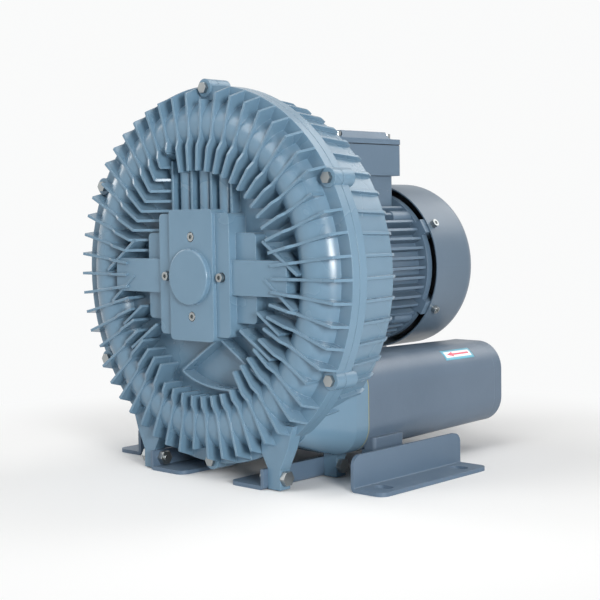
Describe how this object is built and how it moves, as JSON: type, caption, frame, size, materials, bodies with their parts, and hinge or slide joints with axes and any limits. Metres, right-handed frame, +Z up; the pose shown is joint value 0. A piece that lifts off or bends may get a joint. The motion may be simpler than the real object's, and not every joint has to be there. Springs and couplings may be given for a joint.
{
  "type": "side channel blower",
  "caption": "Side channel blower with a finned pump cover, twin silencers with threaded air ports, a flanged fan-cooled motor, terminal box and slotted feet.",
  "frame": {"origin": "on the floor, in the middle of the four slots of the two rear feet", "axes": "+Z up, -Y towards the pump cover, +Y towards the motor's fan cowl, +X right as seen from the cover; the shaft runs along Y at a height of 203 mm"},
  "size_m": [0.382, 0.361, 0.397],
  "materials": {
    "casting_paint": "semi-gloss blue-grey paint over cast aluminium",
    "silencer_paint": "semi-gloss blue-grey paint over cast aluminium",
    "motor_paint": "semi-gloss blue-grey paint over cast aluminium",
    "cowl_paint": "semi-gloss blue-grey paint over pressed sheet steel",
    "foot_paint": "semi-gloss blue-grey paint over folded sheet steel",
    "zinc_steel": "bright zinc plating",
    "cast_aluminium": "machined casting",
    "ground_steel": "ground steel",
    "bearing_steel": "polished bearing steel",
    "core_steel": "stacked electrical sheet",
    "winding": "varnished copper windings",
    "seal_rubber": "matte black rubber",
    "gasket_paper": "yellow green fibre gasket",
    "foam": "open cell sound absorbing foam",
    "tube_steel": "perforated zinc plated sheet",
    "black_plastic": "black polyamide",
    "fan_plastic": "dark grey glass filled polyamide",
    "board_plastic": "brown moulded board",
    "brass": "plain brass"
  },
  "bodies": {
    "frame": {"front_cover": "casting_paint", "main_housing": "casting_paint", "silencer_right": "silencer_paint", "silencer_left": "silencer_paint", "port_flange_right": "silencer_paint", "port_flange_left": "silencer_paint", "motor_frame": "motor_paint", "rear_end_shield": "motor_paint", "terminal_box_base": "motor_paint", "terminal_box_lid": "motor_paint", "fan_cowl": "cowl_paint", "front_foot_right": "foot_paint", "front_foot_left": "foot_paint", "rear_foot_right": "foot_paint", "rear_foot_left": "foot_paint", "cover_screws": "zinc_steel", "hub_screws": "zinc_steel", "motor_bolts": "zinc_steel", "end_shield_bolts": "zinc_steel", "lid_screws": "zinc_steel", "box_screws": "zinc_steel", "cowl_screws": "zinc_steel", "silencer_tie_rods": "zinc_steel", "foot_bolts": "zinc_steel", "foot_nuts": "zinc_steel", "bearing_retainer": "cast_aluminium", "wave_washer": "ground_steel", "front_bearing_outer_ring": "bearing_steel", "rear_bearing_outer_ring": "bearing_steel", "stator_core": "core_steel", "stator_windings": "winding", "front_shaft_seal": "seal_rubber", "rear_shaft_seal": "seal_rubber", "terminal_box_gasket": "seal_rubber", "cover_gasket": "gasket_paper", "silencer_gasket_right": "gasket_paper", "silencer_gasket_left": "gasket_paper", "silencer_foam_right": "foam", "silencer_foam_left": "foam", "silencer_tube_right": "tube_steel", "silencer_tube_left": "tube_steel", "cable_gland_body": "black_plastic", "cable_gland_nut": "black_plastic", "blanking_plug": "black_plastic", "terminal_board": "board_plastic", "terminal_studs": "brass"},
    "rotor": {"shaft": "ground_steel", "impeller": "cast_aluminium", "impeller_key": "ground_steel", "impeller_retaining_ring": "ground_steel", "fan_retaining_ring": "ground_steel", "rotor_core": "core_steel", "rotor_end_rings": "cast_aluminium", "cooling_fan": "fan_plastic", "front_bearing_inner_ring": "bearing_steel", "rear_bearing_inner_ring": "bearing_steel"},
    "front_cage_body": {"front_bearing_balls": "bearing_steel", "front_bearing_cage": "ground_steel"},
    "rear_cage_body": {"rear_bearing_balls": "bearing_steel", "rear_bearing_cage": "ground_steel"}
  },
  "joints": [
    {"name": "rotor_spin", "type": "hinge", "parent": "frame", "child": "rotor", "pos_m": [0, -0.109, 0.203], "axis": [0, 1, 0], "continuous": true},
    {"name": "front_cage_spin", "type": "hinge", "parent": "frame", "child": "front_cage_body", "pos_m": [0, -0.109, 0.203], "axis": [0, 1, 0], "continuous": true},
    {"name": "rear_cage_spin", "type": "hinge", "parent": "frame", "child": "rear_cage_body", "pos_m": [0, 0.13, 0.203], "axis": [0, 1, 0], "continuous": true}
  ],
  "couplings": [
    {"joint": "front_cage_spin", "follows": "rotor_spin", "ratio": 0.3969},
    {"joint": "rear_cage_spin", "follows": "rotor_spin", "ratio": 0.3969}
  ]
}
